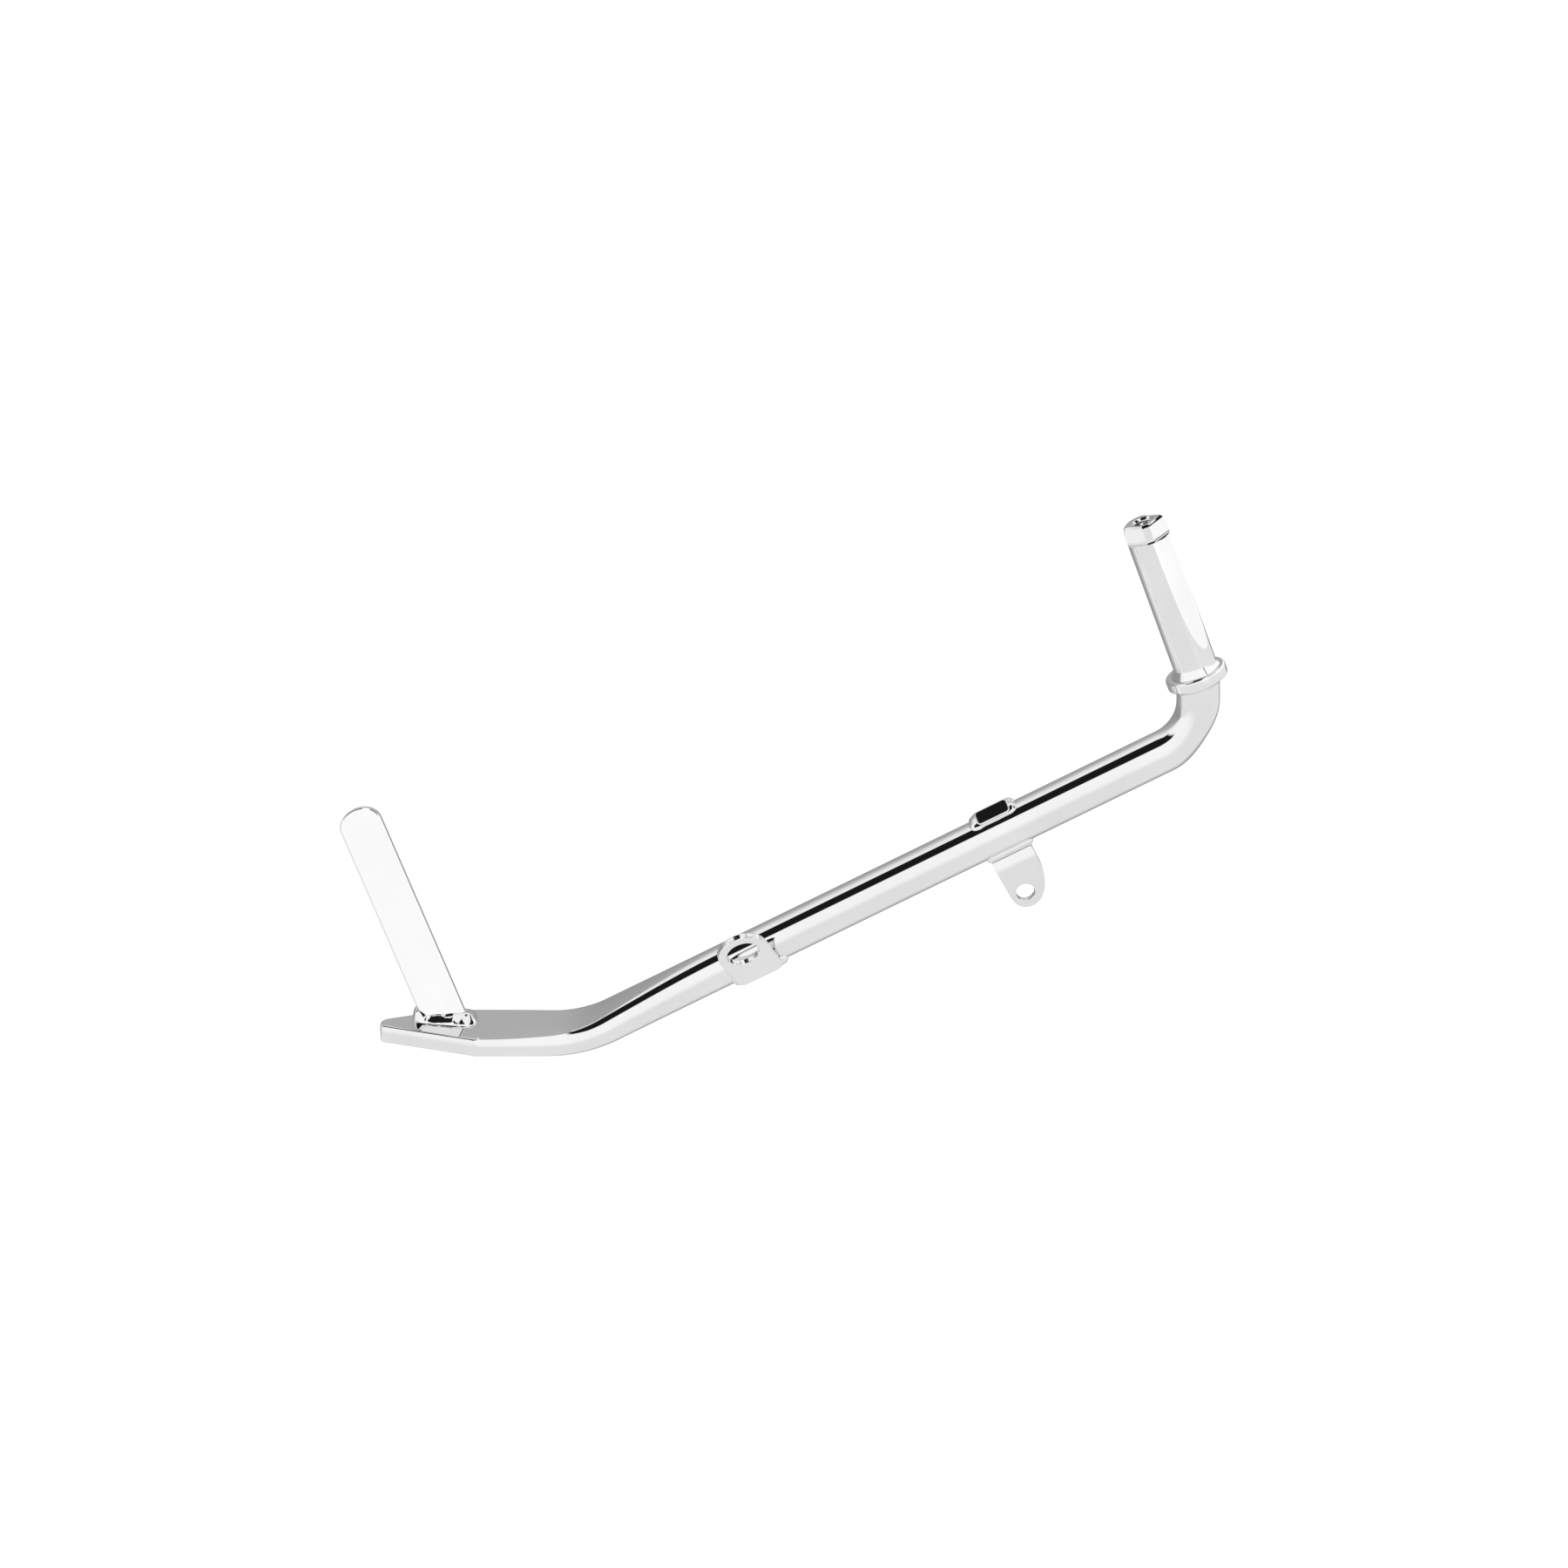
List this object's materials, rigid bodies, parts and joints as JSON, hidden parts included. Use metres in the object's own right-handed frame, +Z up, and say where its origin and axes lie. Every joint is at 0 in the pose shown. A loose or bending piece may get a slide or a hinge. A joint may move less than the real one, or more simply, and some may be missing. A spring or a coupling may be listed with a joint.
{
  "type": "motorcycle kickstand leg",
  "caption": "Chrome-plated bent round bar with a forged flat foot, leaning kick strap, pivot spindle with a flatted end, eye bracket, spring tab and stop lug, all welded on.",
  "frame": {"origin": "on the spindle's axis at the top face of its collar, where the leg turns in the motorcycle's bracket", "axes": "+Z up with the foot's sole level, -X towards the foot, -Y outboard, the side the bracket, the spring tab and the strap's plain face look to"},
  "size_m": [0.395, 0.064, 0.2512],
  "materials": {
    "bar_chrome": "bright chrome plate over polished bar",
    "spindle_chrome": "bright chrome plate over turned steel",
    "strap_chrome": "bright chrome plate over polished flat strap",
    "plate_chrome": "bright chrome plate over stamped plate",
    "weld_chrome": "bright chrome plate over weld metal"
  },
  "bodies": {
    "root": {"leg_bar": "bar_chrome", "pivot_spindle": "spindle_chrome", "pivot_collar": "spindle_chrome", "kick_strap": "strap_chrome", "bumper_bracket": "plate_chrome", "spring_tab": "plate_chrome", "stop_lug": "plate_chrome", "collar_upper_weld": "weld_chrome", "collar_lower_weld": "weld_chrome", "kick_strap_weld": "weld_chrome", "bumper_bracket_weld": "weld_chrome", "spring_tab_weld": "weld_chrome", "stop_lug_weld": "weld_chrome"}
  },
  "joints": []
}
